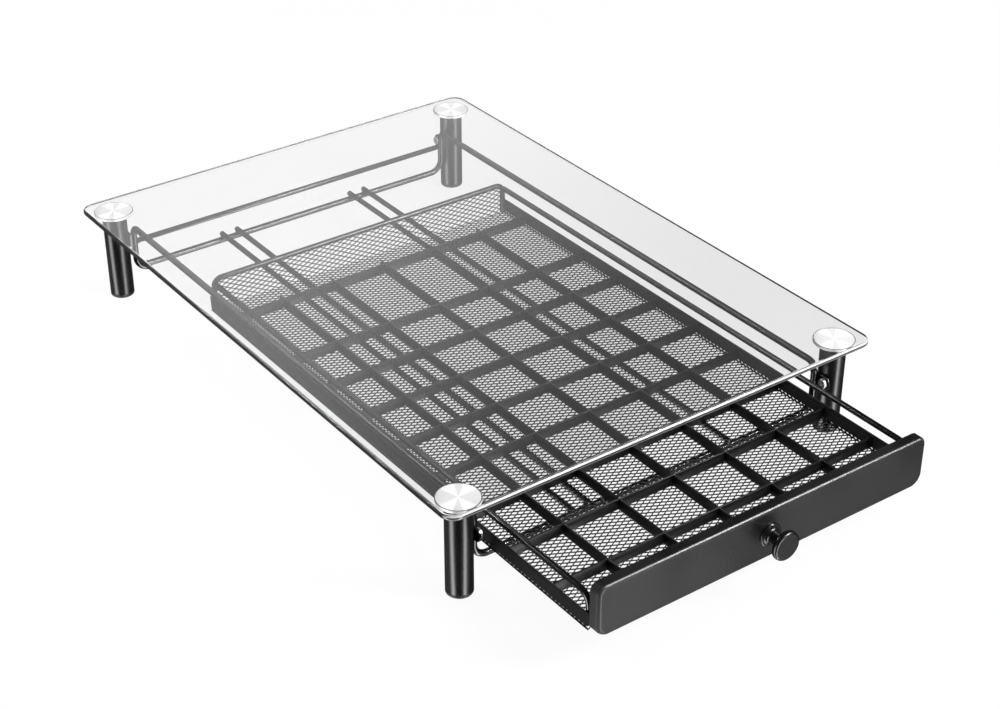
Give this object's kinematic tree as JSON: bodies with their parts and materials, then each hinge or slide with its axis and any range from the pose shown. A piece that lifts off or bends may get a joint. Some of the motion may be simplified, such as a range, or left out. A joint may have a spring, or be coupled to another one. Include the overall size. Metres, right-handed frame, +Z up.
{
  "type": "coffee pod drawer",
  "caption": "Glass shelf on round legs over a wire frame that carries a pull-out mesh drawer, divided into cells for coffee pods.",
  "frame": {"origin": "middle of the underside of the whole object's box, on the table, with the drawer as far out as it is at rest", "axes": "+X to the right, +Y from the front to the rear, +Z up; the drawer opens along -Y"},
  "size_m": [0.338, 0.5782, 0.071],
  "materials": {
    "clear_glass": "clear, polished",
    "brushed_steel": "spun round its middle",
    "screw_steel": "plain",
    "foot_plastic": "matte",
    "black_leg": "satin black",
    "black_wire": "satin black powder coat",
    "black_panel": "fine-textured black powder coat",
    "black_knob": "satin black",
    "black_mesh": "black powder coat",
    "black_strip": "black powder coat"
  },
  "bodies": {
    "stand": {"glass_shelf": "clear_glass", "disc_front_left": "brushed_steel", "disc_front_right": "brushed_steel", "disc_rear_left": "brushed_steel", "disc_rear_right": "brushed_steel", "leg_front_left": "black_leg", "leg_front_right": "black_leg", "leg_rear_left": "black_leg", "leg_rear_right": "black_leg", "foot_front_left": "foot_plastic", "foot_front_right": "foot_plastic", "foot_rear_left": "foot_plastic", "foot_rear_right": "foot_plastic", "corner_post_front_left": "black_wire", "corner_post_front_right": "black_wire", "corner_post_rear_left": "black_wire", "corner_post_rear_right": "black_wire", "corner_bend_front_left": "black_wire", "corner_bend_front_right": "black_wire", "corner_bend_rear_left": "black_wire", "corner_bend_rear_right": "black_wire", "side_rail_left": "black_wire", "side_rail_right": "black_wire", "front_lower_rail": "black_wire", "rear_lower_rail": "black_wire", "rear_stop_rail": "black_wire", "runner_1": "black_wire", "runner_2": "black_wire", "runner_3": "black_wire", "runner_4": "black_wire", "frame_screws": "screw_steel"},
    "drawer": {"floor_mesh": "black_mesh", "rear_mesh": "black_mesh", "rear_rim": "black_wire", "side_wall_left": "black_strip", "side_wall_right": "black_strip", "drawer_rail_left": "black_wire", "drawer_rail_right": "black_wire", "rail_end_left": "black_wire", "rail_end_right": "black_wire", "front_wall": "black_strip", "front_panel": "black_panel", "knob": "black_knob", "knob_screw": "screw_steel", "long_divider_1": "black_strip", "long_divider_2": "black_strip", "long_divider_3": "black_strip", "long_divider_4": "black_strip", "long_divider_5": "black_strip", "cross_divider_1": "black_strip", "cross_divider_2": "black_strip", "cross_divider_3": "black_strip", "cross_divider_4": "black_strip", "cross_divider_5": "black_strip", "cross_divider_6": "black_strip", "cross_divider_7": "black_strip", "cross_divider_8": "black_strip", "cross_divider_9": "black_strip"}
  },
  "joints": [
    {"name": "drawer_slide", "type": "slide", "parent": "stand", "child": "drawer", "axis": [0, -1, 0], "range_m": [-0.096, 0.25]}
  ]
}
